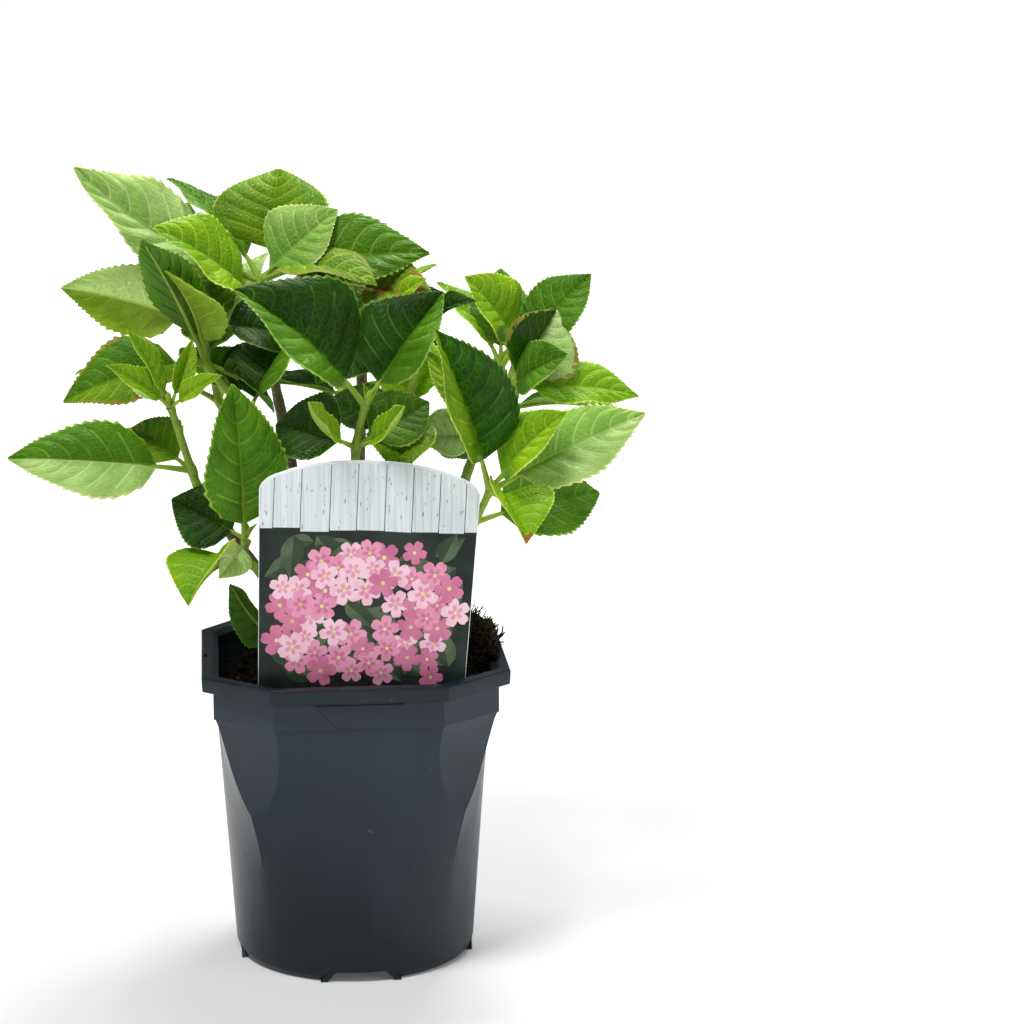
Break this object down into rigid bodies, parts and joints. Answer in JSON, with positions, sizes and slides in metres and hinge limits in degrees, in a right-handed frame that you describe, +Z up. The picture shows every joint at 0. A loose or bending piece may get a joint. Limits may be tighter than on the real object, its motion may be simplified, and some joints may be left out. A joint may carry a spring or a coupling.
{
  "type": "young hydrangea in a nursery pot",
  "caption": "Leafy young garden shrub without flowers, in a black square-rimmed nursery pot with compost and a plain picture label.",
  "frame": {"origin": "middle of the pot's flat underside", "axes": "+Z up the plant, -Y towards the front, where the label stands, +X to the right seen from the front"},
  "size_m": [0.2666, 0.2033, 0.3411],
  "materials": {
    "pot": "satin moulded polypropylene",
    "compost": "rough fibrous compost",
    "label": "printed plastic card",
    "stem": "green-brown young bark",
    "leaves": "waxy green leaf"
  },
  "bodies": {
    "root": {"pot": "pot", "compost": "compost", "label": "label", "stock": "stem", "bough_centre": "stem", "bough_upper_left": "stem", "bough_left": "stem", "bough_front_left": "stem", "bough_low_left": "stem", "bough_right_front": "stem", "bough_right_back": "stem", "bough_inner_right": "stem", "bough_top": "stem", "bough_top_right": "stem", "bough_back_left": "stem", "bough_back": "stem", "bough_back_right": "stem", "leaves_centre": "leaves", "leaves_upper_left": "leaves", "leaves_left": "leaves", "leaves_front_left": "leaves", "leaves_low_left": "leaves", "leaves_right_front": "leaves", "leaves_right_back": "leaves", "leaves_inner_right": "leaves", "leaves_top": "leaves", "leaves_top_right": "leaves", "leaves_back_left": "leaves", "leaves_back": "leaves", "leaves_back_right": "leaves"}
  },
  "joints": []
}
